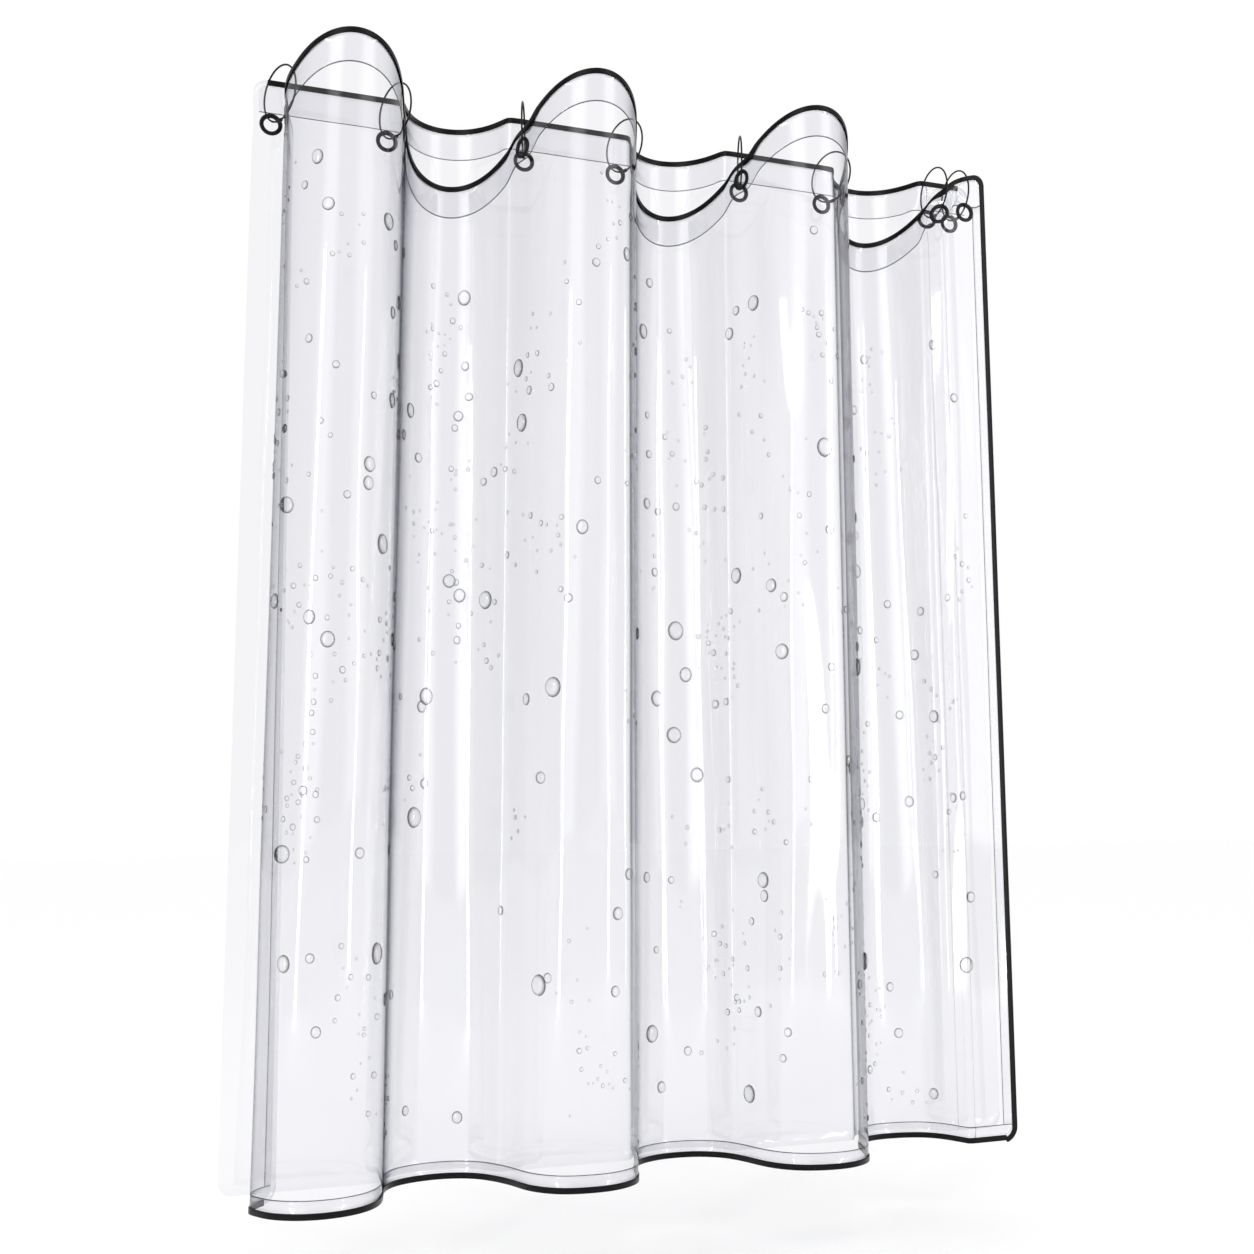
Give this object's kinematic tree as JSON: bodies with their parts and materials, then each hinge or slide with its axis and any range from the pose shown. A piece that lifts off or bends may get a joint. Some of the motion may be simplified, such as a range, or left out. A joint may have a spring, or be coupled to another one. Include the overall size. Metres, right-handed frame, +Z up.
{
  "type": "shower curtain",
  "caption": "Clear two-layer shower curtain with black bound edges, hung in soft folds from split rings threaded through black eyelets.",
  "frame": {"origin": "on the axis of the rod that the rings hang on, near the middle of the curtain's width", "axes": "+X along the rod towards the drawn end, -Y towards the room, +Z up"},
  "size_m": [1.4021, 0.2576, 1.8335],
  "materials": {
    "clear_film": "clear glossy vinyl film with water drops",
    "welded_film": "clear vinyl, double thickness, welded",
    "black_tape": "glossy black vinyl tape",
    "black_plastic": "moulded, glossy black",
    "black_wire": "steel wire, black coated"
  },
  "bodies": {
    "film": {"outer_panel": "clear_film", "outer_top_hem": "welded_film", "outer_bottom_hem": "welded_film", "outer_left_hem": "welded_film", "outer_right_hem": "welded_film", "outer_edge_binding": "black_tape", "inner_panel": "clear_film", "inner_top_hem": "welded_film", "inner_top_binding": "black_tape", "outer_eyelet_1": "black_plastic", "outer_washer_1": "black_plastic", "inner_eyelet_1": "black_plastic", "inner_washer_1": "black_plastic"},
    "carrier_2": {"outer_eyelet_2": "black_plastic", "outer_washer_2": "black_plastic", "inner_eyelet_2": "black_plastic", "inner_washer_2": "black_plastic"},
    "carrier_3": {"outer_eyelet_3": "black_plastic", "outer_washer_3": "black_plastic", "inner_eyelet_3": "black_plastic", "inner_washer_3": "black_plastic"},
    "carrier_4": {"outer_eyelet_4": "black_plastic", "outer_washer_4": "black_plastic", "inner_eyelet_4": "black_plastic", "inner_washer_4": "black_plastic"},
    "carrier_5": {"outer_eyelet_5": "black_plastic", "outer_washer_5": "black_plastic", "inner_eyelet_5": "black_plastic", "inner_washer_5": "black_plastic"},
    "carrier_6": {"outer_eyelet_6": "black_plastic", "outer_washer_6": "black_plastic", "inner_eyelet_6": "black_plastic", "inner_washer_6": "black_plastic"},
    "carrier_7": {"outer_eyelet_7": "black_plastic", "outer_washer_7": "black_plastic", "inner_eyelet_7": "black_plastic", "inner_washer_7": "black_plastic", "outer_eyelet_8": "black_plastic", "outer_washer_8": "black_plastic", "inner_eyelet_8": "black_plastic", "inner_washer_8": "black_plastic"},
    "ring_1": {"ring_1": "black_wire", "ring_clasp_1": "black_wire"},
    "ring_2": {"ring_2": "black_wire", "ring_clasp_2": "black_wire"},
    "ring_3": {"ring_3": "black_wire", "ring_clasp_3": "black_wire"},
    "ring_4": {"ring_4": "black_wire", "ring_clasp_4": "black_wire"},
    "ring_5": {"ring_5": "black_wire", "ring_clasp_5": "black_wire"},
    "ring_6": {"ring_6": "black_wire", "ring_clasp_6": "black_wire"},
    "ring_7": {"ring_7": "black_wire", "ring_clasp_7": "black_wire"},
    "ring_8": {"ring_8": "black_wire", "ring_clasp_8": "black_wire"}
  },
  "joints": [
    {"name": "draw", "type": "slide", "parent": "film", "child": "carrier_7", "axis": [1, 0, 0], "range_m": [-0.7231, 0], "deforming": ["outer_panel", "outer_top_hem", "outer_bottom_hem", "outer_left_hem", "outer_right_hem", "outer_edge_binding", "inner_panel", "inner_top_hem", "inner_top_binding"]},
    {"name": "carrier_2_slide", "type": "slide", "parent": "film", "child": "carrier_2", "axis": [1, 0, 0], "range_m": [-0.1124, 0]},
    {"name": "carrier_3_slide", "type": "slide", "parent": "film", "child": "carrier_3", "axis": [1, 0, 0], "range_m": [-0.2439, 0]},
    {"name": "carrier_4_slide", "type": "slide", "parent": "film", "child": "carrier_4", "axis": [1, 0, 0], "range_m": [-0.3532, 0]},
    {"name": "carrier_5_slide", "type": "slide", "parent": "film", "child": "carrier_5", "axis": [1, 0, 0], "range_m": [-0.4847, 0]},
    {"name": "carrier_6_slide", "type": "slide", "parent": "film", "child": "carrier_6", "axis": [1, 0, 0], "range_m": [-0.594, 0]},
    {"name": "ring_1_turn", "type": "hinge", "parent": "film", "child": "ring_1", "pos_m": [-0.64928, 0, -0.0326], "axis": [0.9173, 0.3982, 0], "range_deg": [-16, 16]},
    {"name": "ring_2_turn", "type": "hinge", "parent": "carrier_2", "child": "ring_2", "pos_m": [-0.45625, 0, -0.0326], "axis": [0.9341, 0.3569, 0], "range_deg": [-16, 16]},
    {"name": "ring_3_turn", "type": "hinge", "parent": "carrier_3", "child": "ring_3", "pos_m": [-0.22958, 0, -0.0326], "axis": [0.9342, -0.3567, 0], "range_deg": [-16, 16]},
    {"name": "ring_4_turn", "type": "hinge", "parent": "carrier_4", "child": "ring_4", "pos_m": [-0.04112, 0, -0.0326], "axis": [0.9341, 0.3569, 0], "range_deg": [-16, 16]},
    {"name": "ring_5_turn", "type": "hinge", "parent": "carrier_5", "child": "ring_5", "pos_m": [0.18554, 0, -0.0326], "axis": [0.9342, -0.3567, 0], "range_deg": [-16, 16]},
    {"name": "ring_6_turn", "type": "hinge", "parent": "carrier_6", "child": "ring_6", "pos_m": [0.37401, 0, -0.0326], "axis": [0.9342, 0.3569, 0], "range_deg": [-16, 16]},
    {"name": "ring_7_turn", "type": "hinge", "parent": "carrier_7", "child": "ring_7", "pos_m": [0.59741, -0.00001, -0.0326], "axis": [1, 0, 0], "range_deg": [-16, 16]},
    {"name": "ring_8_turn", "type": "hinge", "parent": "carrier_7", "child": "ring_8", "pos_m": [0.64498, 0.00002, -0.0326], "axis": [1, 0, 0], "range_deg": [-16, 16]}
  ],
  "couplings": [
    {"joint": "carrier_2_slide", "follows": "draw", "ratio": 0.1548},
    {"joint": "carrier_3_slide", "follows": "draw", "ratio": 0.3366},
    {"joint": "carrier_4_slide", "follows": "draw", "ratio": 0.4878},
    {"joint": "carrier_5_slide", "follows": "draw", "ratio": 0.6696},
    {"joint": "carrier_6_slide", "follows": "draw", "ratio": 0.8208}
  ]
}
